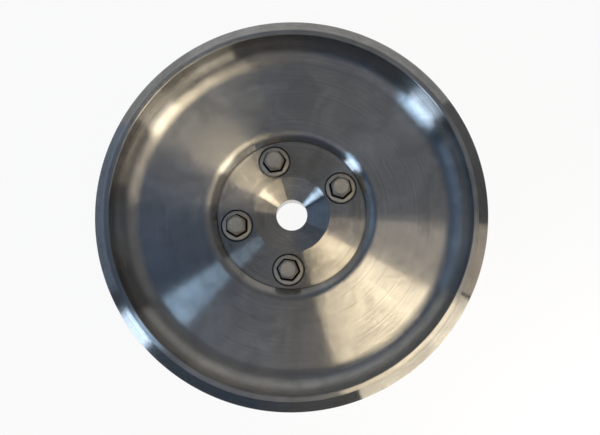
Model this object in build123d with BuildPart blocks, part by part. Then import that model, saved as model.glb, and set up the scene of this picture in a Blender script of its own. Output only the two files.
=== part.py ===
"""Flywheel of a small single-cylinder engine, with a bolted-in hub and an ignition magnet in its rim.

The disc is one turned billet: a heavy rim, a cove, a flat web and a thick seat for the hub. The steel
hub lies in the disc's central recess and is held by four flange bolts, which run into thread inserts
behind it. The bolts are unevenly spaced, so the hub's keyway and the rim's magnet keep their timing.

Axis of rotation: Z. Rear (engine) face of the rim: z = 0. The dished front looks up. All sizes in mm.
"""

from build123d import *
from math import cos, radians, sin, tan
import os

os.makedirs("parts", exist_ok=True)

# Disc, along the radius
disc_radius = 108.0
rim_bevel_width = 5.9  # outer bevel of the rim, along the radius
rim_land = 2.6  # flat top of the rim, inside the bevel
cove_radius = 13.5  # hollow round between the rim's wall and the web
rim_rear_wall = 20.0  # thickness of the rim behind the web
hub_seat_radius = 53.0  # thick middle of the disc, on its rear side

# Disc, along the axis
rear_cavity_depth = 20.0
web_thickness = 10.0
dish_depth = 16.0
rim_bevel_drop = 3.1  # the outer bevel's fall, from the rim's land to its outer wall
recess_depth = 3.7  # the hub's face lies this far under the web; the recess's 45 degree wall spans it
hub_seat_thickness = 13.0

rear_corner_radius = 6.0  # inside corner of the rear cavity
seat_corner_radius = 4.0  # inside corner round the hub's seat
rear_chamfer = 1.5  # outer rear edge of the rim
edge_break = 0.3  # deburred edges

# Hub
hub_flange_radius = 43.0
hub_flange_thickness = 8.3
hub_boss_radius = 21.0
hub_rear_inset = 1.0  # the boss ends this far inside the rim's rear face
bore_radius = 9.0  # small end of the crankshaft's seat
bore_land = 3.5  # straight length at the small end
taper_per_mm = 1 / 16  # growth of the radius towards the engine: a 1 in 8 taper on the diameter
cone_radius = 22.0  # outer edge of the shallow cone round the bore
cone_slope = 20.0  # degrees, from the hub's face
keyway_width = 5.0
keyway_depth = 2.4
keyway_length = 14.0
hub_edge_chamfer = 0.5

# Hub bolts, M8 with a small hexagon
bolt_edge_distance = 11.0  # from the hub's outer edge in to the bolt circle
bolt_angles = (28.0, 108.0, 192.0, 267.0)
hexagon_turns = (12.0, 38.0, 0.0, 22.0)  # where each head stopped when it was tightened
thread_radius = 4.0
bolt_length = 20.0
hexagon_across_flats = 10.0
head_height = 8.0
flange_radius = 8.4
flange_edge = 1.2
flange_slope = 10.0  # degrees
crown_share = 0.9  # the flat crown's width, as a share of the width across flats
head_chamfer = 38.0  # degrees
shank_chamfer = 0.8
spot_face_radius = 8.7
spot_face_depth = 0.6  # its wall opens upwards at 45 degrees

# Thread inserts
insert_wall = 2.0
insert_length = 12.0
insert_sink = 0.3  # below the hub's seat, so that the hub never rests on an insert

# Magnet group and counterweight, in pockets milled into the rim from outside
pocket_depth = 13.0
pocket_height = 20.0
pocket_rise = 9.0  # rim under each pocket
pocket_corner = 2.5
magnet_length = 26.0
pole_shoe_names = ("pole_shoe_trailing", "pole_shoe_leading")
magnet_sink = 2.5  # its face lies under the rim's surface by this much
pole_shoe_length = 13.5
counterweight_length = 40.0
counterweight_screw_inset = 9.0  # from each end of the counterweight in to its screw
surface_sink = 0.3  # pole shoes and counterweight lie this far under the rim's surface

# Pocket screws, M4 socket head
screw_radius = 2.0
screw_head_radius = 3.5
screw_head_height = 4.0
screw_socket_flats = 3.0
screw_socket_depth = 2.2
screw_bite = 10.0  # length of thread in the piece it holds
screw_line = 4.6  # distance of the screws' line from the pocket's floor
head_sink = 0.5

# Drillings that balance the finished wheel
balance_radius = 98.0
balance_angles = (131.0, 146.0, 161.0)
balance_drill_radius = 4.0
balance_drill_depth = 5.0
drill_point_slope = 31.0  # degrees

# Clearances
pilot_clearance = 0.05
boss_clearance = 0.2
bolt_hole_clearance = 0.2
thread_clearance = 0.05
insert_clearance = 0.02
pocket_clearance = 0.1
screw_hole_clearance = 0.25
counterbore_clearance = 0.35

# Heights and radii that follow
web_rear = rear_cavity_depth
web_front = web_rear + web_thickness
rim_top = web_front + dish_depth
hub_face = web_front - recess_depth
hub_seat = hub_face - hub_flange_thickness
seat_rear = hub_seat - hub_seat_thickness
rim_inner_radius = disc_radius - rim_bevel_width - rim_land
rim_rear_radius = disc_radius - rim_rear_wall
cove_foot_radius = rim_inner_radius - cove_radius
pilot_radius = hub_flange_radius + pilot_clearance
boss_hole_radius = hub_boss_radius + boss_clearance
cone_depth = (cone_radius - bore_radius) * tan(radians(cone_slope))
land_top = hub_face - cone_depth
taper_top = land_top - bore_land
taper_length = taper_top - hub_rear_inset
taper_mouth_radius = bore_radius + taper_length * taper_per_mm
bolt_seat = hub_face - spot_face_depth
bolt_circle_radius = hub_flange_radius - bolt_edge_distance
insert_radius = thread_radius + insert_wall
insert_top = hub_seat - insert_sink
pocket_floor = disc_radius - pocket_depth
pocket_middle = pocket_rise + pocket_height / 2
magnet_pocket_length = magnet_length + 2 * pole_shoe_length + 4 * pocket_clearance
pole_shoe_near = magnet_length / 2 + pocket_clearance
pole_shoe_middle = pole_shoe_near + pole_shoe_length / 2
counterweight_reach = counterweight_length / 2
counterweight_screw_reach = counterweight_reach - counterweight_screw_inset
counterweight_pocket_length = counterweight_length + 2 * pocket_clearance
screw_x = pocket_floor + screw_line
screw_head_top = head_sink + screw_head_height  # the screws stand head down
screw_end = pocket_rise + pocket_clearance + screw_bite
thread_depth = pocket_clearance + screw_bite + screw_radius  # drilled a little past the screw's end


def polar(radius, angle):
    """Point in the XY plane at a radius and an angle in degrees."""
    return (radius * cos(radians(angle)), radius * sin(radians(angle)))


bolt_points = [polar(bolt_circle_radius, angle) for angle in bolt_angles]
balance_points = [polar(balance_radius, angle) for angle in balance_angles]
magnet_screw_points = [(screw_x, side * pole_shoe_middle) for side in (-1, 1)]
counterweight_screw_points = [(-screw_x, side * counterweight_screw_reach) for side in (-1, 1)]


def upright_plane(point):
    """Plane through a point, with its x along X and its y along Z, for profiles turned about Z there."""
    return Plane(origin=(point[0], point[1], 0), x_dir=(1, 0, 0), z_dir=(0, -1, 0))


def upright_axis(point):
    """Axis through a point, parallel to Z."""
    return Axis((point[0], point[1], 0), (0, 0, 1))


# ---------------------------------------------------------------- disc
with BuildPart() as flywheel_disc:
    with BuildSketch(Plane.XZ) as disc_section:
        with BuildLine() as disc_outline:
            Polyline(
                (boss_hole_radius, seat_rear),
                (boss_hole_radius, hub_seat),
                (pilot_radius, hub_seat),
                (pilot_radius, hub_face),
                (pilot_radius + recess_depth, web_front),
                (cove_foot_radius, web_front),
            )
            CenterArc((cove_foot_radius, web_front + cove_radius), cove_radius, -90, 90)
            Polyline(
                (rim_inner_radius, web_front + cove_radius),
                (rim_inner_radius, rim_top - edge_break),
                (rim_inner_radius + edge_break, rim_top),
                (rim_inner_radius + rim_land, rim_top),
                (disc_radius, rim_top - rim_bevel_drop),
                (disc_radius, rear_chamfer),
                (disc_radius - rear_chamfer, 0),
                (rim_rear_radius + edge_break, 0),
                (rim_rear_radius, edge_break),
                (rim_rear_radius, web_rear),
                (hub_seat_radius, web_rear),
                (hub_seat_radius, seat_rear),
                (boss_hole_radius, seat_rear),
            )
        make_face()
        rear_corner = disc_section.vertices().sort_by_distance((rim_rear_radius, web_rear))[0]
        fillet(rear_corner, rear_corner_radius)
        seat_corner = disc_section.vertices().sort_by_distance((hub_seat_radius, web_rear))[0]
        fillet(seat_corner, seat_corner_radius)
        seat_edge = disc_section.vertices().sort_by_distance((hub_seat_radius, seat_rear))[0]
        chamfer(seat_edge, rear_chamfer)
    revolve(axis=Axis.Z)
    with BuildSketch(Plane.XY.offset(hub_seat)) as insert_holes:
        with Locations(*bolt_points):
            Circle(insert_radius + insert_clearance)
    extrude(amount=-hub_seat_thickness, mode=Mode.SUBTRACT)
    with BuildSketch(Plane.YZ.offset(pocket_floor)) as magnet_pocket:
        with Locations((0, pocket_middle)):
            RectangleRounded(magnet_pocket_length, pocket_height, pocket_corner)
    extrude(amount=2 * pocket_depth, mode=Mode.SUBTRACT)
    with BuildSketch(Plane.YZ.offset(-pocket_floor)) as counterweight_pocket:
        with Locations((0, pocket_middle)):
            RectangleRounded(counterweight_pocket_length, pocket_height, pocket_corner)
    extrude(amount=-2 * pocket_depth, mode=Mode.SUBTRACT)
    with BuildSketch(Plane.XY) as screw_holes:
        with Locations(*magnet_screw_points, *counterweight_screw_points):
            Circle(screw_radius + screw_hole_clearance)
    extrude(amount=pocket_rise, mode=Mode.SUBTRACT)
    with BuildSketch(Plane.XY) as counterbores:
        with Locations(*magnet_screw_points, *counterweight_screw_points):
            Circle(screw_head_radius + counterbore_clearance)
    extrude(amount=screw_head_top, mode=Mode.SUBTRACT)
    for balance_point in balance_points:
        with BuildSketch(upright_plane(balance_point)) as balance_drilling:
            point_height = balance_drill_radius * tan(radians(drill_point_slope))
            Polygon(
                (0, -edge_break),
                (balance_drill_radius, -edge_break),
                (balance_drill_radius, balance_drill_depth),
                (0, balance_drill_depth + point_height),
                align=None,
            )
        revolve(axis=upright_axis(balance_point), mode=Mode.SUBTRACT)
flywheel_disc.part.label = "flywheel_disc"
export_step(flywheel_disc.part, "parts/flywheel_disc.step")

# ---------------------------------------------------------------- hub
with BuildPart() as hub:
    with BuildSketch(Plane.XZ) as hub_section:
        with BuildLine() as hub_outline:
            Polyline(
                (bore_radius, land_top),
                (cone_radius, hub_face),
                (hub_flange_radius - hub_edge_chamfer, hub_face),
                (hub_flange_radius, hub_face - hub_edge_chamfer),
                (hub_flange_radius, hub_seat),
                (hub_boss_radius, hub_seat),
                (hub_boss_radius, hub_rear_inset + rear_chamfer),
                (hub_boss_radius - rear_chamfer, hub_rear_inset),
                (taper_mouth_radius, hub_rear_inset),
                (bore_radius, taper_top),
                (bore_radius, land_top),
            )
        make_face()
    revolve(axis=Axis.Z)
    for bolt_point in bolt_points:
        with BuildSketch(upright_plane(bolt_point)):
            Polygon(
                (0, bolt_seat),
                (spot_face_radius, bolt_seat),
                (spot_face_radius + spot_face_depth + edge_break, hub_face + edge_break),
                (0, hub_face + edge_break),
                align=None,
            )
        revolve(axis=upright_axis(bolt_point), mode=Mode.SUBTRACT)
    with BuildSketch(Plane.XY.offset(hub_face)) as bolt_holes:
        with Locations(*bolt_points):
            Circle(thread_radius + bolt_hole_clearance)
    extrude(amount=-hub_flange_thickness, mode=Mode.SUBTRACT)
    with BuildSketch(Plane.XY.offset(hub_rear_inset)) as keyway:
        Rectangle(taper_mouth_radius + keyway_depth, keyway_width, align=(Align.MIN, Align.CENTER))
    extrude(amount=keyway_length, mode=Mode.SUBTRACT)
hub.part.label = "hub"
export_step(hub.part, "parts/hub.step")


# ---------------------------------------------------------------- hub bolts and their inserts
def flange_bolt(point, hexagon_turn):
    """Flange bolt that stands on the hub's spot face: chamfered hexagon, sloped flange, plain shank."""
    corner_radius = hexagon_across_flats / 2 / cos(radians(30))
    crown_radius = crown_share * hexagon_across_flats / 2
    head_top = bolt_seat + head_height
    crown_drop = (corner_radius - crown_radius) * tan(radians(head_chamfer))
    flange_rise = (flange_radius - hexagon_across_flats / 2) * tan(radians(flange_slope))
    flange_top = bolt_seat + flange_edge + flange_rise
    shank_end = bolt_seat - bolt_length
    with BuildPart() as bolt:
        with BuildSketch(Plane(origin=(point[0], point[1], bolt_seat))):
            RegularPolygon(corner_radius, 6, rotation=hexagon_turn)
        extrude(amount=head_height)
        with BuildSketch(upright_plane(point)):
            Polygon(
                (0, bolt_seat),
                (corner_radius + edge_break, bolt_seat),
                (corner_radius + edge_break, head_top - crown_drop - edge_break * tan(radians(head_chamfer))),
                (crown_radius, head_top),
                (0, head_top),
                align=None,
            )
        revolve(axis=upright_axis(point), mode=Mode.INTERSECT)
        with BuildSketch(upright_plane(point)):
            Polygon(
                (0, shank_end),
                (thread_radius - shank_chamfer, shank_end),
                (thread_radius, shank_end + shank_chamfer),
                (thread_radius, bolt_seat),
                (flange_radius, bolt_seat),
                (flange_radius, bolt_seat + flange_edge),
                (hexagon_across_flats / 2, flange_top),
                (0, flange_top),
                align=None,
            )
        revolve(axis=upright_axis(point))
    return bolt.part


def thread_insert(point):
    """Steel sleeve screwed into the disc under the hub; it carries a bolt's thread."""
    with BuildPart() as insert:
        with BuildSketch(Plane(origin=(point[0], point[1], insert_top))):
            Circle(insert_radius)
            Circle(thread_radius + thread_clearance, mode=Mode.SUBTRACT)
        extrude(amount=-insert_length)
        chamfer(insert.edges().filter_by(GeomType.CIRCLE).sort_by(SortBy.RADIUS)[-2:], edge_break)
    return insert.part


for number, (bolt_point, hexagon_turn) in enumerate(zip(bolt_points, hexagon_turns), start=1):
    hub_bolt = flange_bolt(bolt_point, hexagon_turn)
    hub_bolt.label = f"hub_bolt_{number}"
    export_step(hub_bolt, f"parts/hub_bolt_{number}.step")
    insert_piece = thread_insert(bolt_point)
    insert_piece.label = f"thread_insert_{number}"
    export_step(insert_piece, f"parts/thread_insert_{number}.step")


# ---------------------------------------------------------------- ignition magnet group
def pocket_block(side, near, far, screw_points):
    """Steel piece for the pocket on one side of X, from y = near to y = far, with its screws' threads."""
    pocket_length = magnet_pocket_length if side > 0 else counterweight_pocket_length
    block_length = pocket_length - 2 * pocket_clearance
    block_height = pocket_height - 2 * pocket_clearance
    with BuildPart() as block:
        with BuildSketch(Plane.YZ.offset(side * (pocket_floor + pocket_clearance))):
            with Locations((0, pocket_middle)):
                RectangleRounded(block_length, block_height, pocket_corner)
        extrude(amount=side * pocket_depth)
        with BuildSketch(Plane.XY):
            Circle(disc_radius - surface_sink)
        extrude(amount=rim_top, mode=Mode.INTERSECT)
        with BuildSketch(Plane.XZ.offset(-near)):
            Rectangle(3 * disc_radius, 3 * rim_top)
        extrude(amount=near - far, mode=Mode.INTERSECT)
        with BuildSketch(Plane.XY.offset(pocket_rise)):
            with Locations(*screw_points):
                Circle(screw_radius + thread_clearance)
        extrude(amount=thread_depth, mode=Mode.SUBTRACT)
    return block.part


for name, side, screw_point in zip(pole_shoe_names, (-1, 1), magnet_screw_points):
    first, last = sorted((side * pole_shoe_near, side * (pole_shoe_near + pole_shoe_length)))
    pole_shoe = pocket_block(1, first, last, [screw_point])
    pole_shoe.label = name
    export_step(pole_shoe, f"parts/{name}.step")

with BuildPart() as ignition_magnet:
    with BuildSketch(Plane.YZ.offset(pocket_floor + pocket_clearance)):
        with Locations((0, pocket_middle)):
            Rectangle(magnet_length, pocket_height - 2 * pocket_clearance)
    extrude(amount=pocket_depth - pocket_clearance - magnet_sink)
    chamfer(ignition_magnet.faces().sort_by(Axis.X)[-1].edges(), edge_break)
ignition_magnet.part.label = "ignition_magnet"
export_step(ignition_magnet.part, "parts/ignition_magnet.step")

# ---------------------------------------------------------------- counterweight
counterweight = pocket_block(-1, -counterweight_reach, counterweight_reach, counterweight_screw_points)
counterweight.label = "counterweight"
export_step(counterweight, "parts/counterweight.step")


# ---------------------------------------------------------------- pocket screws
def pocket_screw(point):
    """Socket-head screw that stands head down in the rim's rear face and holds a piece in its pocket."""
    with BuildPart() as screw:
        with BuildSketch(Plane(origin=(point[0], point[1], head_sink))):
            Circle(screw_head_radius)
        extrude(amount=screw_head_height)
        chamfer(screw.faces().sort_by(Axis.Z)[0].edges(), edge_break)
        with BuildSketch(Plane(origin=(point[0], point[1], screw_head_top))):
            Circle(screw_radius)
        extrude(amount=screw_end - screw_head_top)
        with BuildSketch(Plane(origin=(point[0], point[1], head_sink))):
            RegularPolygon(screw_socket_flats / 2, 6, major_radius=False)
        extrude(amount=screw_socket_depth, mode=Mode.SUBTRACT)
    return screw.part


screw_sets = (
    ("magnet_screw", magnet_screw_points),
    ("counterweight_screw", counterweight_screw_points),
)
for set_name, points in screw_sets:
    for number, screw_point in enumerate(points, start=1):
        screw_piece = pocket_screw(screw_point)
        screw_piece.label = f"{set_name}_{number}"
        export_step(screw_piece, f"parts/{set_name}_{number}.step")
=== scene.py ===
# %% [markdown]
# # The flywheel of a small engine, dressed in Blender
#
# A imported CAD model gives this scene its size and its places: 18 solids, from the turned disc down to
# the screws that hold its magnet group. CAD solids are exact but plain. Here the pieces that catch the
# light get new surfaces with broken edges and tool marks, and every piece gets the finish of the metal
# it is made of. Nothing moves out of place, because each new piece takes its position from the solid
# that it stands for.

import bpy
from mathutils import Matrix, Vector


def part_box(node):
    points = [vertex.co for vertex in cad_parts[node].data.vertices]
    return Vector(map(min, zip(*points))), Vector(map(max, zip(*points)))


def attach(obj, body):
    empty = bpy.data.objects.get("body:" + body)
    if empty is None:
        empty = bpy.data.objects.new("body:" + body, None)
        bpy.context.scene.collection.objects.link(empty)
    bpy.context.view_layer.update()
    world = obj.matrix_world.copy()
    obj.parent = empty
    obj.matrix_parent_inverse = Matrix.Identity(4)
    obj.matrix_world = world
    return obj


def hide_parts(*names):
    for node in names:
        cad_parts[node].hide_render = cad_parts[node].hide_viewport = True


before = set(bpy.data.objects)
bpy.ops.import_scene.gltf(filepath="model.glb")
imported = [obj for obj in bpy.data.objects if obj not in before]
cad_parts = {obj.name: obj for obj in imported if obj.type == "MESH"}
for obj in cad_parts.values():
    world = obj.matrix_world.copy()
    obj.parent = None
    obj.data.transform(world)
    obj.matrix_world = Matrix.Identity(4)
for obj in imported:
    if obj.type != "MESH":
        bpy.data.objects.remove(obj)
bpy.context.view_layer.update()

from math import ceil, cos, pi, radians, sin, tan

import bmesh
import bpy
import numpy as np
from mathutils import Matrix, Vector

# %% [markdown]
# ## Measures
#
# A drawing of an engine part is in millimetres, and Blender works in metres. The script therefore
# thinks in millimetres, and one number turns them to metres when a mesh or a lamp is made. What can be
# read off the solids is read off them: the wheel's radius and height, the hub, and the bolts' places.

# %% Read the main sizes off the solids
METRES = 0.001  # metres in a millimetre


def extent(node):
    """Lowest and highest corner of a CAD solid, in millimetres."""
    low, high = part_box(node)
    return np.array(low) / METRES, np.array(high) / METRES


disc_high = extent("flywheel_disc")[1]
hub_low, hub_high = extent("hub")
disc_radius, rim_top = disc_high[0], disc_high[2]
hub_radius, hub_rear, hub_face = hub_high[0], hub_low[2], hub_high[2]
print(f"disc radius {disc_radius:.1f}, rim height {rim_top:.1f}, hub radius {hub_radius:.1f}")

# %% [markdown]
# ## Turned shapes
#
# Disc and hub are cut on a lathe. The work turns, the tool follows a line, and every point of that line
# becomes a circle. A surface of revolution is the same thing in numbers: a section line with two
# columns, radius and height, is carried round the axis. A lathe hand never leaves an edge sharp, so
# each corner of the section gets a small arc, and the arc's soft shine is what makes an edge look real.
# A Screw modifier could carry the line round and a Bevel could break the edges, but then every edge
# would get the same width. Here each corner has its own.

# %% A section line with rounded corners
def rounded(corners):
    """Closed section line through corners (radius, height, rounding).

    Each corner becomes an arc that touches both of its runs: it begins and ends at
    rounding * tan(turn / 2) from the corner, and its centre lies on the bisector at
    rounding / cos(turn / 2). Two points on each run, near its ends, hold the run flat, so that the
    smooth shading of the arc doesn't reach into it."""
    corners = np.array(corners, float)
    points, rounding = corners[:, :2], corners[:, 2]
    ahead = np.roll(points, -1, axis=0) - points
    length = np.hypot(ahead[:, 0], ahead[:, 1])
    ahead /= length[:, None]
    behind = -np.roll(ahead, 1, axis=0)
    cross = behind[:, 1] * ahead[:, 0] - behind[:, 0] * ahead[:, 1]
    turn = np.arctan2(cross, -np.sum(behind * ahead, axis=1))
    reach = rounding * np.abs(np.tan(turn / 2))
    spare = length - reach - np.roll(reach, -1)
    line = []
    for number, corner in enumerate(points):
        start = corner + behind[number] * reach[number]
        if rounding[number] > 0:
            inward = behind[number] + ahead[number]
            inward /= np.hypot(*inward)
            centre = corner + inward * rounding[number] / cos(turn[number] / 2)
            per_radian = 14 if rounding[number] > 2 else 5  # a wide arc shows its steps sooner
            steps = max(3, ceil(abs(turn[number]) * per_radian))
            angle = np.arctan2(*(start - centre)[::-1]) + np.linspace(0, turn[number], steps + 1)
            line.append(centre + rounding[number] * np.column_stack((np.cos(angle), np.sin(angle))))
        else:
            line.append(start[None])
        hold = min(0.4, 0.2 * spare[number])
        if hold > 0.02:
            leave = corner + ahead[number] * (reach[number] + hold)
            arrive = corner + ahead[number] * (length[number] - np.roll(reach, -1)[number] - hold)
            line.append(np.array([leave, arrive]))
    return np.vstack(line)


# %% [markdown]
# ## From grid to mesh
#
# Every new surface here is a grid of points, computed as one array. One function hands the array to
# Blender. Its columns always close into rings. The rows either close too, as on a turned ring, or the
# first and last row are closed with one face each, as on a bolt. Edges that bend by more than 30
# degrees stay crisp, and the rest is shaded smooth.

# %% A mesh from a grid of points
def surface(name, grid, ring=False):
    """Object whose mesh is a grid of points in millimetres, rows by columns by three."""
    rows, columns = grid.shape[:2]
    number = np.arange(rows * columns).reshape(rows, columns)
    if ring:
        number = np.vstack((number, number[:1]))
    beside = np.roll(number, -1, axis=1)
    quads = np.stack((number[:-1], number[1:], beside[1:], beside[:-1]), axis=-1)
    faces = quads.reshape(-1, 4).tolist()
    if not ring:
        faces += [number[0].tolist(), number[-1, ::-1].tolist()]
    mesh = bpy.data.meshes.new(name)
    mesh.from_pydata(grid.reshape(-1, 3) * METRES, [], faces)
    piece = bpy.data.objects.new(name, mesh)
    bpy.context.scene.collection.objects.link(piece)
    smooth(piece)
    return piece


def smooth(piece):
    """Shades a piece smooth, with edges over 30 degrees left crisp."""
    piece.data.shade_smooth()
    piece.data.set_sharp_from_angle(angle=radians(30))


def turned(name, line, centre=(0, 0), columns=288, ring=True):
    """Surface of revolution: x is radius * cos(angle), y is radius * sin(angle), z is the height."""
    angle = np.arange(columns) * 2 * pi / columns
    radius, height = line[:, :1], line[:, 1:]
    x = centre[0] + radius * np.cos(angle)
    y = centre[1] + radius * np.sin(angle)
    return surface(name, np.stack((x, y, height + 0 * x), axis=-1), ring)


# %% [markdown]
# ## Cutting
#
# Holes and pockets come after turning, on a milling machine. A Boolean does the same: a cutter's shape
# is taken away from the work. A drill's shape is a small turned surface, and an end mill leaves a
# pocket with rounded corners, as wide as the tool. The faces round a hole could also be modelled by
# hand, but a cutter can be moved or resized by one number.

# %% Cutters and the cut
def drill(centre, steps):
    """Cutter turned about a vertical line: steps are (radius, height), from its top to its bottom.

    A row of tiny radius at each end keeps the closing face small."""
    line = np.array([(0.01, steps[0][1]), *steps, (0.01, steps[-1][1])], float)
    return turned("drill", line, centre, columns=48, ring=False)


def end_mill(side, length, near, far, low, high, corner):
    """Cutter for a pocket that opens along x: a rounded rectangle in y and z, carried from near to far.

    A circle of the corner's radius is pulled apart at its four quarters: the signs of cosine and sine
    say which corner a point belongs to, read a little past the point, where neither of them is zero."""
    angle = np.arange(48) * 2 * pi / 48
    along, up = np.sign(np.cos(angle + 0.01)), np.sign(np.sin(angle + 0.01))
    y = along * (length / 2 - corner) + corner * np.cos(angle)
    z = (low + high) / 2 + up * ((high - low) / 2 - corner) + corner * np.sin(angle)
    x = side * np.array([[far], [near]], float)
    grid = np.stack((x + 0 * y, y + 0 * x, z + 0 * x), axis=-1)
    return surface("end_mill", grid if side < 0 else grid[::-1], ring=False)


def cut(piece, cutters):
    """Takes all the cutters away from a piece with one Boolean, and removes them.

    Their meshes are joined first. The manifold solver is quick, and it asks for closed meshes."""
    joined = bmesh.new()
    for cutter in cutters:
        joined.from_mesh(cutter.data)
    bmesh.ops.recalc_face_normals(joined, faces=joined.faces)
    tool = cutters[0]
    joined.to_mesh(tool.data)
    joined.free()
    boolean = piece.modifiers.new("cut", "BOOLEAN")
    boolean.operation, boolean.solver, boolean.object = "DIFFERENCE", "MANIFOLD", tool
    seen = piece.evaluated_get(bpy.context.evaluated_depsgraph_get())
    mesh = bpy.data.meshes.new_from_object(seen)
    piece.modifiers.clear()
    piece.data = mesh
    for cutter in cutters:
        bpy.data.objects.remove(cutter)
    smooth(piece)


# %% [markdown]
# ## The disc
#
# The disc is one billet of aluminium alloy. Most of its weight is in the rim, because weight far from
# the axis stores the most energy for the same mass. The rim ends in a narrow land and a broad bevel.
# Inside it a hollow round, the cove, leads down to the flat web without a corner that could crack. In
# the middle a shallow recess with a 45 degree wall takes the steel hub, and the wall's upper corner is
# rounded softly into the web. The section below goes round the outline once, and each corner gives
# its own rounding.

# %% Turn the disc
rim_bevel_width, rim_bevel_drop, rim_land, cove_radius = 5.9, 3.1, 2.6, 13.5
web_front, web_rear = 30.0, 20.0
hub_seat, seat_rear, seat_radius = 18.0, 5.0, 53.0
rim_rear_radius = disc_radius - 20.0
rim_inner_radius = disc_radius - rim_bevel_width - rim_land
pilot_radius = hub_radius + 0.05  # room for a sliding fit
recess_depth, recess_rounding = web_front - hub_face, 7.0
boss_hole_radius = 21.2
rear_chamfer = 1.5

disc_line = rounded(
    [
        (boss_hole_radius, seat_rear, 0.3),
        (boss_hole_radius, hub_seat, 0.15),
        (pilot_radius, hub_seat, 0.15),
        (pilot_radius, hub_face, 0.08),
        (pilot_radius + recess_depth, web_front, recess_rounding),
        (rim_inner_radius, web_front, cove_radius),
        (rim_inner_radius, rim_top, 0.35),
        (rim_inner_radius + rim_land, rim_top, 0.25),
        (disc_radius, rim_top - rim_bevel_drop, 0.3),
        (disc_radius, rear_chamfer, 0.3),
        (disc_radius - rear_chamfer, 0, 0.3),
        (rim_rear_radius, 0, 0.3),
        (rim_rear_radius, web_rear, 6.0),
        (seat_radius, web_rear, 4.0),
        (seat_radius, seat_rear + rear_chamfer, 0.3),
        (seat_radius - rear_chamfer, seat_rear, 0.3),
    ]
)
disc = turned("turned_disc", disc_line)
print(len(disc_line), "points in the disc's section,", len(disc.data.polygons), "faces")

# %% [markdown]
# Two pockets are milled into the rim from outside, one for the magnet group and one for its
# counterweight. Counterbored holes for their screws come up from the rear face, and four holes behind
# the hub take the thread inserts. Three shallow drillings in the rear face balance the finished wheel.

# %% Mill and drill the disc
pocket_floor, pocket_low, pocket_high, pocket_corner = 95.0, 9.0, 29.0, 2.5
magnet_pocket_length, counterweight_pocket_length = 53.4, 40.2
insert_hole_radius, screw_hole_radius = 6.02, 2.25
counterbore_radius, counterbore_depth = 3.85, 4.5
balance_hole_radius, balance_hole_depth, balance_point_depth = 4.0, 5.0, 7.2
balance_circle, balance_angles = 98.0, np.radians((131.0, 146.0, 161.0))
bolt_names = [name for name in sorted(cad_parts) if name.startswith("hub_bolt_")]
screw_names = [name for name in sorted(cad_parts) if "_screw_" in name]


def middle(node):
    """Centre of a CAD solid in x and y, in millimetres."""
    low, high = extent(node)
    return (low[:2] + high[:2]) / 2


outside = 1.1 * disc_radius
heights = pocket_low, pocket_high
cut(
    disc,
    [
        end_mill(1, magnet_pocket_length, pocket_floor, outside, *heights, pocket_corner),
        end_mill(-1, counterweight_pocket_length, pocket_floor, outside, *heights, pocket_corner),
    ],
)
holes = []
for name in bolt_names:
    steps = [(insert_hole_radius, hub_seat + 1), (insert_hole_radius, 1)]
    holes.append(drill(middle(name), steps))
for name in screw_names:
    steps = [
        (screw_hole_radius, pocket_low + 1),
        (screw_hole_radius, counterbore_depth),
        (counterbore_radius, counterbore_depth),
        (counterbore_radius, -1),
    ]
    holes.append(drill(middle(name), steps))
for angle in balance_angles:
    point = (0.3, balance_point_depth)
    steps = [point, (balance_hole_radius, balance_hole_depth), (balance_hole_radius, -1)]
    holes.append(drill(balance_circle * np.array((cos(angle), sin(angle))), steps))
cut(disc, holes)
print(len(bolt_names), "insert holes and", len(screw_names), "counterbored holes")
print(len(balance_angles), "balance drillings")

# %% [markdown]
# ## The hub
#
# The hub is steel, because the crankshaft's taper and key would soon wear a seat in light alloy. Its
# flange lies in the disc's recess, and a shallow cone leads from the flange's face down to the bore.
# Round each bolt hole a spot face, a fraction of a millimetre deep, gives the bolt's flange a true
# seat. Its sharp step shows as a thin dark ring round every bolt.

# %% Turn, drill and key the hub
bore_radius, land_top, taper_top, taper_mouth = 9.0, 21.568, 18.068, 10.067
cone_radius, boss_radius = 22.0, 21.0
spot_face_radius, spot_face_depth, bolt_hole_radius = 8.7, 0.6, 4.2
keyway_width, keyway_radius, keyway_top, keyway_corner = 5.0, 12.467, 15.0, 0.2
hub_chamfer = 0.5

hub_line = rounded(
    [
        (taper_mouth, hub_rear, 0.2),
        (bore_radius, taper_top, 0.1),
        (bore_radius, land_top, 0.25),
        (cone_radius, hub_face, 0.15),
        (hub_radius - hub_chamfer, hub_face, 0.12),
        (hub_radius, hub_face - hub_chamfer, 0.12),
        (hub_radius, hub_seat, 0.2),
        (boss_radius, hub_seat, 0.4),
        (boss_radius, hub_rear + rear_chamfer, 0.2),
        (boss_radius - rear_chamfer, hub_rear, 0.2),
    ]
)
hub = turned("turned_hub", hub_line)
hub_holes = [
    drill(
        middle(name),
        [
            (spot_face_radius + spot_face_depth + 1, hub_face + 1),
            (spot_face_radius, hub_face - spot_face_depth),
            (bolt_hole_radius, hub_face - spot_face_depth),
            (bolt_hole_radius, hub_seat - 1),
        ],
    )
    for name in bolt_names
]
in_bore, below_hub = 5.0, -1.0  # the keyway's cutter starts in the open bore, under the hub
key_cutter = end_mill(
    1, keyway_width, in_bore, keyway_radius, below_hub, keyway_top, keyway_corner
)
cut(hub, [*hub_holes, key_cutter])
print(len(hub_line), "points in the hub's section,", len(hub.data.polygons), "faces")
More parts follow.
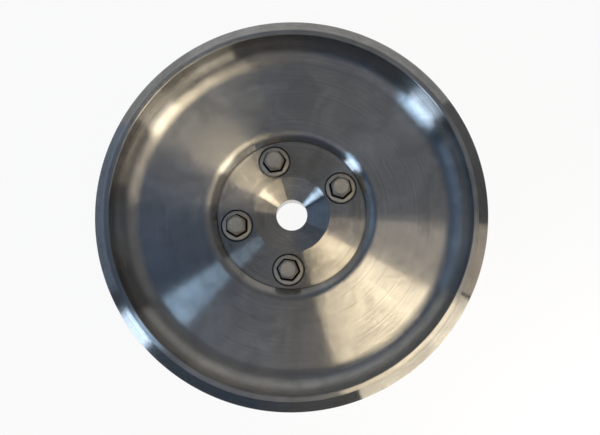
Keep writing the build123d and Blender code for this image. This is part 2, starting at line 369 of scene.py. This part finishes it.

# %% [markdown]
# ## The hub bolts
#
# A flange bolt is forged: a small hexagon stands on a wide, sloping flange that spreads its load. The
# bolt is one surface, its radius a function of angle and height. The head's sides are the smaller of a
# rounded hexagon and a chamfer cone, and a soft minimum rounds the edges where the two meet. Round the
# hexagon's foot runs a narrow groove, whose colour is painted dark as shade: a dark line that sets the
# head off.
# A cylinder, a cone and a Boolean would give the same bolt with sharp edges. One function of angle and
# height gives soft edges, and a thread that really winds.

# %% Shapes of the bolt's head and thread
def soft_smaller(first, second, blend):
    """Smooth minimum: the mean less half the root of (difference squared + blend squared)."""
    return (first + second - np.sqrt((first - second) ** 2 + blend**2)) / 2


def hexagon(angle, across_flats, power=60.0):
    """Radius of a rounded hexagon: half its width over the largest of the cosines to its six sides.

    The root of a sum of high powers stands for the largest, and so it rounds the corners."""
    sides = np.radians(np.arange(6) * 60.0)[:, None]
    reach = np.clip(np.cos(angle[None] - sides), 0.02, None)
    return across_flats / 2 / np.sum(reach**power, axis=0) ** (1 / power)


def thread_radius(angle, height, major, pitch):
    """Radius of a 60 degree thread: a triangle wave of height / pitch - angle / full turn.

    It is 0.61 of the pitch deep, and a tenth of the wave is cut flat at its crest and at its root."""
    turns = height / pitch - angle / (2 * pi)
    wave = np.abs(2 * (turns - np.floor(turns)) - 1)
    depth = 0.61 * pitch
    return major - depth * np.clip(1.25 * wave - 0.125, 0, 1)


# %% Build one bolt
across_flats, head_height, flange_radius, flange_edge = 10.0, 8.0, 8.4, 1.2
flange_slope, chamfer_slope, crown_radius = radians(10), radians(52), 4.1
groove_depth, groove_width = 1.2, 1.05  # round the hexagon's foot
crown_dish, edge_blend = 0.12, 0.12  # the forging die leaves a shallow hollow and soft edges
thread_major, pitch, plain_shank = 4.0, 1.25, 3.2  # an M8 bolt, plain for 3.2 mm under its flange
hexagon_turns = (12.0, 38.0, 0.0, 22.0)  # a bolt stops where it is tight, so no two heads agree


def hub_bolt(name, node, hexagon_turn):
    """A flange bolt as one grid: crown, hexagon, groove, sloping flange, edge, shank and thread."""
    low, high = extent(node)
    centre, top, seat, end = middle(node), high[2], high[2] - head_height, low[2]
    angle = np.arange(96) * 2 * pi / 96
    hexagon_radius = hexagon(angle - radians(hexagon_turn), across_flats)[None]
    flange_top = seat + flange_edge + (flange_radius - across_flats / 2) * tan(flange_slope)

    share = np.array([0.03, 0.3, 0.55, 0.75, 0.85])[:, None]  # of the crown's radius
    dish = crown_dish * (1 - (share / share[-1]) ** 2)
    crown = (crown_radius * share + 0 * angle, top - dish + 0 * angle)

    foot = flange_top - groove_depth
    chamfer_rows, side_rows = np.linspace(0.0, 1.3, 12), np.linspace(1.6, top - foot, 6)
    drop = np.concatenate((chamfer_rows, side_rows))[:, None]
    cone = crown_radius + drop / tan(chamfer_slope)
    sides = (soft_smaller(hexagon_radius, cone, edge_blend), top - drop + 0 * angle)

    out = np.linspace(0.15, 1, 14)[:, None]
    slope_end = flange_radius - 0.45
    flange_line = hexagon_radius + (slope_end - hexagon_radius) * out
    slope_height = flange_top - (flange_line - across_flats / 2) * tan(flange_slope)
    groove = groove_depth * np.exp(-(((flange_line - hexagon_radius) / groove_width) ** 4))
    slope = (flange_line, slope_height - groove)

    # The flange's edge is rounder above than below.
    edge = rounded(
        [
            (flange_radius - 0.5, seat + flange_edge + 0.1, 0),
            (flange_radius, seat + flange_edge, 0.25),
            (flange_radius, seat, 0.2),
            (flange_radius - 0.5, seat, 0),
        ]
    )[2:-2]
    # A small round under the head leads from the seat to the shank. Heights are below the seat.
    shank = [(5.2, 0), (4.6, 0), (4.25, -0.12), (thread_major, -0.4), (thread_major, -3.0)]
    below = np.vstack((edge, np.array(shank) + (0, seat)))
    turned_part = (below[:, :1] + 0 * angle, below[:, 1:] + 0 * angle)

    height = np.linspace(seat - plain_shank, end + 0.9, 84)[:, None]
    runout = np.clip((seat - plain_shank - height) / pitch, 0, 1)
    thread = thread_radius(angle, height, thread_major, pitch)
    thread = (thread_major + (thread - thread_major) * runout, height + 0 * angle)
    # The thread ends in a narrower tip, here in heights above the bolt's end.
    point = np.array([(3.3, 0.7), (3.1, 0.0), (0.1, 0.0)]) + (0, end)
    tip = (point[:, :1] + 0 * angle, point[:, 1:] + 0 * angle)

    parts = (crown, sides, slope, turned_part, thread, tip)
    radius = np.vstack([part[0] for part in parts])
    height = np.vstack([part[1] for part in parts])
    x, y = centre[0] + radius * np.cos(angle), centre[1] + radius * np.sin(angle)
    return surface(name, np.stack((x, y, height), axis=-1))


bolts = [
    hub_bolt(f"flange_bolt_{number}", node, turn)
    for number, (node, turn) in enumerate(zip(bolt_names, hexagon_turns), start=1)
]
print(len(bolts), "bolts with", len(bolts[0].data.polygons), "faces each")

# %% [markdown]
# ## Materials: three small helpers
#
# A material here is a tree of nodes that ends in one Principled shader. One helper writes a colour the
# way a designer gives it, as a hex code. One adds a node with its settings and its links. The third
# starts a material and returns its tree and shader.

# %% Helpers for materials
def linear(code):
    """Hex colour to the linear numbers that Blender computes with, by the sRGB curve."""
    shares = [int(code[place : place + 2], 16) / 255 for place in (1, 3, 5)]
    return [s / 12.92 if s <= 0.04045 else ((s + 0.055) / 1.055) ** 2.4 for s in shares] + [1.0]


def add_node(tree, kind, inputs=None, **settings):
    """Adds a node: settings go to the node, inputs to its sockets. An input from a socket is linked."""
    new = tree.nodes.new("ShaderNode" + kind)
    for name, value in settings.items():
        setattr(new, name, value)
    for socket, value in (inputs or {}).items():
        if isinstance(value, bpy.types.NodeSocket):
            tree.links.new(value, new.inputs[socket])
        else:
            new.inputs[socket].default_value = value
    return new


def new_material(name, **constants):
    """Starts a material whose Principled shader has these constants on its own sockets."""
    material = bpy.data.materials.new(name)
    material.use_nodes = True
    shader = material.node_tree.nodes["Principled BSDF"]
    for socket, value in constants.items():
        shader.inputs[socket.replace("_", " ")].default_value = value
    return material, material.node_tree, shader


# %% [markdown]
# ## Turned metal
#
# A lathe tool leaves a fine spiral groove, so a turned face is smooth along its circles and rough
# across them. Light spreads out across the grooves only, and every lamp draws a bright wedge that runs
# from the middle to the rim. Three things make this look. The shader is fully anisotropic, and its
# tangent follows the circles. The tool's round nose leaves a hollow in each groove, so the surface
# tilts evenly to and fro across every feed, and that tilt is added to the normal. Slower waves, from
# a machine that is never quite stiff, give the faint rings that the eye finds on any turned part.
# Real grooves in the mesh would need millions of faces, and a Bump node can't follow a pattern this
# fine, because it compares the heights of neighbouring points that lie farther apart than a groove.

# %% Turned metal
def turned_metal(name, pale, dark, roughness, feed, groove, rings):
    """Metal turned about the z axis: feed in mm per turn, groove and rings as slopes in degrees.

    The ring coordinate is radius + 0.37 * height, in mm, so grooves also run up walls. The normal
    becomes N + slope * P, scaled to length 1, where P is the direction across the grooves. Scales are
    numbers per mm of the ring coordinate, and only the smudges' is per metre of space."""
    wander_scale, wave_scale, line_scale = 0.35, 0.55, 1.1  # features of about 3, 2 and 1 mm
    smudge_scale = 45.0  # smudges of about 22 mm, as fingers and a rag leave them
    # A quarter turn of the anisotropy lays the spread of light across the tangent.
    material, tree, shader = new_material(
        name, Metallic=1.0, Anisotropic=1.0, Anisotropic_Rotation=0.25
    )
    place = add_node(tree, "TexCoord").outputs["Object"]
    axes = add_node(tree, "SeparateXYZ", {"Vector": place}).outputs
    flat = add_node(tree, "CombineXYZ", {"X": axes["X"], "Y": axes["Y"]}).outputs[0]
    radius = add_node(tree, "VectorMath", {0: flat}, operation="LENGTH").outputs["Value"]
    rise = add_node(
        tree, "Math", {0: axes["Z"], 1: 0.37, 2: radius}, operation="MULTIPLY_ADD"
    ).outputs[0]
    ring = add_node(tree, "Math", {0: rise, 1: 1 / METRES}, operation="MULTIPLY").outputs[0]

    wander = add_node(
        tree, "TexNoise", {"W": ring, "Scale": wander_scale, "Detail": 1.0}, noise_dimensions="1D"
    ).outputs["Fac"]
    phase = add_node(tree, "Math", {0: ring, 1: 1 / feed, 2: wander}, operation="MULTIPLY_ADD")
    saw = add_node(tree, "Math", {0: phase.outputs[0]}, operation="FRACT").outputs[0]
    steep, gentle = tan(radians(groove)), tan(radians(rings))
    tilt = add_node(tree, "MapRange", {"Value": saw, "To Min": -steep, "To Max": steep})
    waves = add_node(
        tree, "TexNoise", {"W": ring, "Scale": wave_scale, "Detail": 3.0}, noise_dimensions="1D"
    ).outputs["Fac"]
    wave_tilt = add_node(tree, "MapRange", {"Value": waves, "To Min": -gentle, "To Max": gentle})
    slope = add_node(
        tree, "Math", {0: tilt.outputs[0], 1: wave_tilt.outputs[0]}, operation="ADD"
    ).outputs[0]

    back = add_node(tree, "Math", {0: axes["Y"], 1: -1.0}, operation="MULTIPLY").outputs[0]
    circle = add_node(tree, "CombineXYZ", {"X": back, "Y": axes["X"]}).outputs[0]
    tangent = add_node(tree, "VectorMath", {0: circle}, operation="NORMALIZE").outputs[0]
    facing = add_node(tree, "NewGeometry").outputs["Normal"]
    across = add_node(
        tree, "VectorMath", {0: tangent, 1: facing}, operation="CROSS_PRODUCT"
    ).outputs[0]
    leaning = add_node(tree, "VectorMath", {0: across, "Scale": slope}, operation="SCALE").outputs[0]
    summed = add_node(tree, "VectorMath", {0: facing, 1: leaning}, operation="ADD").outputs[0]
    normal = add_node(tree, "VectorMath", {0: summed}, operation="NORMALIZE").outputs[0]
    tree.links.new(normal, shader.inputs["Normal"])
    tree.links.new(tangent, shader.inputs["Tangent"])

    smudge = add_node(
        tree,
        "TexNoise",
        {"Vector": place, "Scale": smudge_scale, "Detail": 5.0, "Roughness": 0.62, "Distortion": 0.8},
    )
    lines = add_node(
        tree, "TexNoise", {"W": ring, "Scale": line_scale, "Detail": 4.0}, noise_dimensions="1D"
    ).outputs["Fac"]
    mixed = add_node(
        tree, "Math", {0: lines, 1: 0.45, 2: smudge.outputs["Fac"]}, operation="MULTIPLY_ADD"
    ).outputs[0]
    share = add_node(tree, "MapRange", {"Value": mixed, "From Min": 0.5, "From Max": 0.95})
    tint = add_node(
        tree, "Mix", {"Factor": share.outputs[0], "A": linear(pale), "B": linear(dark)}, data_type="RGBA"
    )
    tree.links.new(tint.outputs["Result"], shader.inputs["Base Color"])
    smoothest, roughest = roughness - 0.015, roughness + 0.02
    rough = add_node(
        tree, "MapRange", {"Value": share.outputs[0], "To Min": smoothest, "To Max": roughest}
    )
    tree.links.new(rough.outputs[0], shader.inputs["Roughness"])
    return material


# Turned light alloy is a neutral pale grey, and a feed of 0.15 mm is a common finishing cut in it.
# Turned steel is cut a little finer and is a touch warmer and darker. Both mirror the room in
# soft-edged wedges, with dull patches where oil and hands have been.
turned_aluminium = turned_metal("turned aluminium alloy", "#D6D5D3", "#B4B3B2", 0.16, 0.15, 11.0, 1.2)
turned_steel = turned_metal("turned steel", "#D2CFCA", "#A8A5A0", 0.16, 0.12, 11.0, 0.9)
print("turned metals:", turned_aluminium.name, "and", turned_steel.name)

# %% [markdown]
# ## Plated, ground, black and sintered metals
#
# The small pieces have finishes without a direction, so one function makes them all: a fine grain that
# stands up a few hundredths of a millimetre, and larger stains. One plain colour would do for pieces
# this small, but then they would look like plastic beside the turned faces. The function has two
# extras. Pole shoes are stacked from thin sheets, so that eddy currents can't flow in them, and the
# sheets' edges show as fine lines. And where the bolts' flanges meet the hub, their colour is painted
# nearly black low down, as painted shade in the hexagon's groove and under the flange.

# %% Small metal finishes
def fine_metal(name, pale, dark, roughness, grain, relief, layers=0.0, shade_line=None):
    """Metal with a grain and a relief in mm. Two extras, also in mm, are off unless they are given:
    layers is the thickness of stacked sheets, and the second extra is the height below which painted
    shade darkens it.

    A sheet's edge is a sine wave along z, with one period per sheet, raised to a high power."""
    stain_scale = 180.0  # per metre, for stains of about 5.5 mm
    material, tree, shader = new_material(name, Metallic=1.0)
    place = add_node(tree, "TexCoord").outputs["Object"]
    grains = add_node(
        tree, "TexNoise", {"Vector": place, "Scale": 1 / (grain * METRES), "Detail": 3.0}
    )
    stains = add_node(
        tree, "TexNoise", {"Vector": place, "Scale": stain_scale, "Detail": 4.0, "Roughness": 0.65}
    )
    height = grains.outputs["Fac"]
    mixed = add_node(tree, "Math", {0: height, 1: stains.outputs["Fac"]}, operation="ADD").outputs[0]
    if layers:
        sheets = add_node(
            tree, "TexWave", {"Vector": place, "Scale": pi / 10 / (layers * METRES)}, bands_direction="Z"
        ).outputs["Fac"]
        edges = add_node(tree, "Math", {0: sheets, 1: 6.0}, operation="POWER").outputs[0]
        gap = {0: edges, 1: -2.0, 2: height}
        height = add_node(tree, "Math", gap, operation="MULTIPLY_ADD").outputs[0]
        mixed = add_node(tree, "Math", {0: edges, 1: 0.6, 2: mixed}, operation="MULTIPLY_ADD").outputs[0]
    share = add_node(tree, "MapRange", {"Value": mixed, "From Min": 0.7, "From Max": 1.35})
    tint = add_node(
        tree, "Mix", {"Factor": share.outputs[0], "A": linear(pale), "B": linear(dark)}, data_type="RGBA"
    )
    smoothest, roughest = roughness - 0.05, roughness + 0.07
    rough = add_node(
        tree, "MapRange", {"Value": share.outputs[0], "To Min": smoothest, "To Max": roughest}
    )
    bump = add_node(tree, "Bump", {"Height": height, "Strength": 0.35, "Distance": relief * METRES})
    colour = tint.outputs["Result"]
    if shade_line:
        # Painted shade: below the height line the colour turns nearly black, for the shade in the bolts'
        # groove and under their flange.
        level = add_node(tree, "SeparateXYZ", {"Vector": place}).outputs["Z"]
        low, high = (shade_line - 0.3) * METRES, (shade_line + 0.3) * METRES
        unshaded = add_node(tree, "MapRange", {"Value": level, "From Min": low, "From Max": high})
        painted_shade = linear("#1E1B18")
        colour = add_node(
            tree, "Mix", {"Factor": unshaded.outputs[0], "A": painted_shade, "B": colour}, data_type="RGBA"
        ).outputs["Result"]
    tree.links.new(colour, shader.inputs["Base Color"])
    tree.links.new(rough.outputs[0], shader.inputs["Roughness"])
    tree.links.new(bump.outputs[0], shader.inputs["Normal"])
    return material


# Zinc plating is matt and slightly warm, so the heads keep one tone where turned faces flash.
# Below this height the bolts' colour is painted nearly black: painted shade in the hexagon's groove and
# under the flange.
shade_line = hub_face + 0.45  # just above the hub's face
plated_steel = fine_metal(
    "zinc plated steel", "#DCD7CE", "#BDB7AD", 0.6, 0.5, 0.02, shade_line=shade_line
)
# Ground steel is bright and even, with a small grain in its shine.
ground_steel = fine_metal("ground steel", "#CFCBC5", "#B4B0AA", 0.33, 0.35, 0.01)
# Black oxide is a thin skin, nearly black, that still shines softly on edges.
black_steel = fine_metal("black oxide steel", "#3A3938", "#232322", 0.38, 0.4, 0.01)
# Laminated steel is a mid grey ruled with fine dark lines, one for each half millimetre sheet.
laminated_steel = fine_metal("laminated steel", "#A9A49C", "#77726B", 0.4, 0.3, 0.03, layers=0.5)
# Magnet powder, pressed and baked, is a dull dark grey with the grain of a fine stone.
magnet_ferrite = fine_metal("pressed magnet powder", "#6B6764", "#4B4846", 0.55, 0.25, 0.03)
print("finishes without direction: plated, ground, black, laminated, pressed")

# %% [markdown]
# ## Hand the pieces over
#
# Each new piece stands for the solid that it was made after and rides on its body. The solids whose
# shape is already right stay, and only change their material.

# %% Place the new pieces and dress the solids
def hand_over(piece, material, slot, *nodes):
    """Gives a piece its material, and lets it ride and stand for the CAD solids. The slot is not used.
    """
    piece.data.materials.clear()
    piece.data.materials.append(material)
    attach(piece, "root")
    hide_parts(*nodes)


hand_over(disc, turned_aluminium, "turned_aluminium", "flywheel_disc")
hand_over(hub, turned_steel, "turned_steel", "hub")
for bolt, node in zip(bolts, bolt_names):
    hand_over(bolt, plated_steel, "plated_steel", node)

finishes = {
    "thread_insert": ground_steel,
    "ignition_magnet": magnet_ferrite,
    "pole_shoe": laminated_steel,
    "magnet_screw": black_steel,
    "counterweight_screw": black_steel,
    "counterweight": ground_steel,
}
for node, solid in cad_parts.items():
    for family, material in finishes.items():
        if node == family or (node.startswith(family + "_") and node[len(family) + 1 :].isalnum()):
            for material_slot in solid.material_slots:
                material_slot.material = material
            print(node, "is", material.name)

# %% [markdown]
# ## Floor and surroundings
#
# The wheel lies on its rear face on a pale floor, and the camera sees floor and background as white.
# Near the wheel the floor is as white in every reflection, so the rim's wall mirrors it, while the part
# of the floor's colour that answers to light still takes the wheel's soft shadow. Farther away, what
# the metal mirrors is a dim room, a little cooler on one side. That is what gives a turned face its
# dark parts, because bright metal in an all-white room looks like white paint. A paper sweep that
# curves up behind the wheel is the usual studio floor, but from above a flat one looks the same.

# %% Floor
WHITE = "#F6F6F6"


def plate(name, corners):
    """Flat object with one face: corners (x, y) in metres, anticlockwise as seen from above."""
    mesh = bpy.data.meshes.new(name)
    mesh.from_pydata([(x, y, 0) for x, y in corners], [], [tuple(range(len(corners)))])
    flat = bpy.data.objects.new(name, mesh)
    bpy.context.scene.collection.objects.link(flat)
    return flat


reach = 6.0
floor = plate("floor", [(-reach, -reach), (reach, -reach), (reach, reach), (-reach, reach)])
floor.location.z = -0.0002  # just under the wheel, so that its lowest faces and the floor don't mix
print("floor", 2 * reach, "m wide")

# %% [markdown]
# The floor's material has two halves, and the kind of ray chooses between them. Light that falls on
# the floor meets plain matt paper. The camera and the metal see the sum of a white glow and a grey matt
# part, and the grey part is where the shadow shows. In the metal, glow and paper fade towards grey from
# a quarter of a metre out.

# %% The floor's paper
paper = bpy.data.materials.new("pale paper floor")
paper.use_nodes = True
tree = paper.node_tree
tree.nodes.clear()
spot = add_node(tree, "TexCoord").outputs["Object"]
away = add_node(tree, "VectorMath", {0: spot}, operation="LENGTH").outputs["Value"]
fade_start, fade_end = 0.26, 0.7  # metres from the wheel's axis
fade = add_node(
    tree,
    "MapRange",
    {"Value": away, "From Min": fade_start, "From Max": fade_end},
    interpolation_type="SMOOTHSTEP",
).outputs[0]
rays = add_node(tree, "LightPath").outputs
to_camera = rays["Is Camera Ray"]
seen = to_camera
for kind in ("Is Glossy Ray", "Is Transmission Ray"):
    seen = add_node(tree, "Math", {0: seen, 1: rays[kind]}, operation="MAXIMUM").outputs[0]
shade = add_node(
    tree, "Mix", {"Factor": fade, "A": linear("#ECEAE6"), "B": linear("#77787A")}, data_type="RGBA"
)
matt = add_node(tree, "BsdfDiffuse", {"Color": shade.outputs["Result"]})
matt_seen = add_node(tree, "BsdfDiffuse", {"Color": linear("#5A5A5A")})
mirrored = add_node(tree, "Math", {0: 1.0, 1: to_camera}, operation="SUBTRACT").outputs[0]
dimmed = add_node(tree, "Math", {0: fade, 1: mirrored}, operation="MULTIPLY").outputs[0]
glow = add_node(
    tree, "Mix", {"Factor": dimmed, "A": linear(WHITE), "B": linear("#606164")}, data_type="RGBA"
)
glowing = add_node(tree, "Emission", {"Color": glow.outputs["Result"], "Strength": 1.0})
white = add_node(tree, "AddShader", {0: matt_seen.outputs[0], 1: glowing.outputs[0]})
mix = add_node(tree, "MixShader", {0: seen, 1: matt.outputs[0], 2: white.outputs[0]})
add_node(tree, "OutputMaterial", {"Surface": mix.outputs[0]})
floor.data.materials.append(paper)
print("floor is", paper.name)

# %% [markdown]
# The world is the rest of the room. It is darkest near the floor and brighter overhead, and it turns
# cooler towards one side. The camera sees plain white in its place.

# %% World
world = bpy.data.worlds.new("studio")
bpy.context.scene.world = world
world.use_nodes = True
tree = world.node_tree
tree.nodes.clear()
way = add_node(tree, "TexCoord").outputs["Generated"]
axes = add_node(tree, "SeparateXYZ", {"Vector": way}).outputs
climb = add_node(tree, "MapRange", {"Value": axes["Z"], "From Min": 0.3, "From Max": 0.97}).outputs[0]
side = add_node(tree, "MapRange", {"Value": axes["X"], "From Min": -0.22, "From Max": 0.03}).outputs[0]
low = add_node(
    tree, "Mix", {"Factor": side, "A": linear("#212B36"), "B": linear("#29292B")}, data_type="RGBA"
).outputs["Result"]
high = add_node(
    tree, "Mix", {"Factor": side, "A": linear("#42566F"), "B": linear("#77787A")}, data_type="RGBA"
).outputs["Result"]
room = add_node(tree, "Mix", {"Factor": climb, "A": low, "B": high}, data_type="RGBA")
to_camera = add_node(tree, "LightPath").outputs["Is Camera Ray"]
shown = add_node(
    tree, "Mix", {"Factor": to_camera, "A": room.outputs["Result"], "B": linear(WHITE)}, data_type="RGBA"
)
background = add_node(tree, "Background", {"Color": shown.outputs["Result"], "Strength": 1.0})
add_node(tree, "OutputWorld", {"Surface": background.outputs[0]})
print("world made:", world.name)

# %% [markdown]
# ## Camera
#
# The camera hangs 0.4 m above the wheel, a little to the front of its middle, and looks almost straight
# down into the dish. At this short distance the near rim looks larger than the web behind it, which is
# why the rim hides the wheel's outer wall.

# %% Camera
view = bpy.data.cameras.new("camera")
view.sensor_width, view.lens = 36.0, 39.113
camera = bpy.data.objects.new("camera", view)
camera_place = Vector((11.5, -47.4, 397.5))  # in mm
camera.location = camera_place * METRES
camera.rotation_euler = (0.1217, 0.0178, 0.0)
bpy.context.scene.collection.objects.link(camera)
bpy.context.scene.camera = camera
bpy.context.scene.view_settings.view_transform = "Standard"
print("camera at", list(camera_place), "mm, lens", view.lens, "mm")

# %% [markdown]
# ## Lamps
#
# In a turned face every point mirrors a thin fan of the room, and all the fans meet in one direction,
# the mirror image of the camera's own, here called the pole. So the room round the pole is drawn on
# the wheel like the hours on a clock, and a lamp that stands parallel to the pole draws a straight
# wedge from the middle to the rim. Such panels stand round the wheel like tall windows. Each is placed
# by its compass direction from the pole, the angle that it covers sideways, and the two leans from the
# pole between which it stands. One picture of a room, wrapped round the scene, could light the wheel as
# well, but lamps can be placed and dimmed one by one.

# %% Lamps and panels
FULL_LIGHT = 4.0  # watts per square metre, at which an area lamp is as bright as white paper
pole = Vector((-camera_place.x, -camera_place.y, camera_place.z - web_front)).normalized()


def toward(compass):
    """Level direction of length 1: the compass angle is in degrees and starts at the x axis."""
    return Vector((cos(radians(compass)), sin(radians(compass)), 0))


def lamp(name, centre, facing, up, width, height, radiance, colour):
    """Rectangular lamp: sizes in metres, and a radiance of 1 is white paper's in full light."""
    light = bpy.data.lights.new(name, "AREA")
    light.shape, light.size, light.size_y = "RECTANGLE", width, height
    light.energy = radiance * FULL_LIGHT * width * height
    light.color = linear(colour)[:3]
    stand = bpy.data.objects.new(name, light)
    turn = Matrix((up.cross(-facing), up, -facing)).transposed().to_4x4()
    stand.matrix_world = Matrix.Translation(centre) @ turn
    stand.visible_camera = False
    bpy.context.scene.collection.objects.link(stand)
    print(name, f"{width:.3f} x {height:.3f} m, {light.energy:.2f} W")


def panel(name, compass, spread, lean_high, lean_low, away, radiance, colour):
    """Lamp that stands parallel to the pole: angles in degrees, distance from the pole in metres."""
    outward = toward(compass)
    top, foot = away / tan(radians(lean_high)), away / tan(radians(lean_low))
    width, height = 2 * away * tan(radians(spread / 2)), top - foot
    facing = (pole * outward.dot(pole) - outward).normalized()
    centre = pole * (top + foot) / 2 + outward * away
    lamp(name, centre, facing, pole, width, height, radiance, colour)


# %% [markdown]
# Two warm windows share one side with a warm lamp and a beige wall. A cool window and a cool lamp stand
# a quarter turn from them. Grey, dim and blue walls fill the rest, so that no part of a face goes
# black. The two strips stand low beside the wheel. They light the rim's bevel, and the rim keeps most
# of them out of the dish.

# %% Stand the panels up
# Compass, spread, highest and lowest lean in degrees, distance in metres, radiance, colour.
panel("warm window left", 299.0, 26.0, 8.0, 31.0, 0.5, 2.0, "#FFECC8")
panel("warm window right", 321.5, 20.0, 4.0, 34.0, 0.4, 1.7, "#FFECC8")
panel("warm lamp", 324.5, 13.0, 34.0, 54.0, 0.8, 1.4, "#FFF1DA")
panel("beige wall", 345.0, 22.0, 8.0, 38.0, 0.5, 0.36, "#FFEBD0")
panel("cool window", 219.5, 13.0, 24.0, 45.0, 0.6, 1.6, "#BFE0FF")
panel("cool lamp", 214.0, 12.0, 45.0, 82.0, 1.0, 2.0, "#CFE6FF")
panel("grey wall", 94.0, 108.0, 60.0, 82.0, 1.0, 0.4, "#FFFDF8")
panel("dim wall", 255.0, 58.0, 20.0, 40.0, 0.6, 0.2, "#FFF4E6")
panel("blue wall", 175.0, 52.0, 42.0, 70.0, 1.0, 0.33, "#A3BBD9")
panel("warm strip", 313.0, 44.0, 71.5, 90.0, 0.24, 2.8, "#FFF1D6")
panel("beige strip", 347.0, 22.0, 71.5, 90.0, 0.24, 0.9, "#FFEBD0")

# %% [markdown]
# Nearer to the pole than the windows reach, two small lamps that face down carry the warm wedges on.
# A fan reaches a little beyond the pole, so lamps and windows also draw a wedge across from their own.
# A black card just above the small lamps keeps the left window out of those fans, and that wedge stays
# narrow. Its long edge passes the pole, and it works as the dark body of a real camera does, which
# shows in all bright metal that is looked at from near.

# %% Small lamps and a black card beside the pole
small_lamp_length = 0.024
small_lamps = (  # compass in degrees, distance from the pole and width in metres, radiance
    ("low lamp right", 319.5, 0.028, 0.009, 5.0),
    ("low lamp left", 307.0, 0.044, 0.01, 6.0),
)
for name, compass, away, width, radiance in small_lamps:
    outward, down = toward(compass), Vector((0, 0, -1))
    centre = Vector((-camera_place.x, -camera_place.y, 398.0)) * METRES + outward * away
    lamp(name, centre, down, outward, width, small_lamp_length, radiance, "#FFECC8")

camera_back = plate("camera_back", [(-0.03, -0.095), (0.14, -0.095), (0.14, 0), (-0.03, 0)])
camera_back.location = Vector((-11.7, 48.3, 404.0)) * METRES
camera_back.rotation_euler.z = radians(-46)
camera_back.visible_camera = False
black_plastic = new_material("black plastic", Base_Color=linear("#202022"))[0]  # dull and dark
camera_back.data.materials.append(black_plastic)
print("black card", [round(side, 3) for side in camera_back.dimensions[:2]], "m")
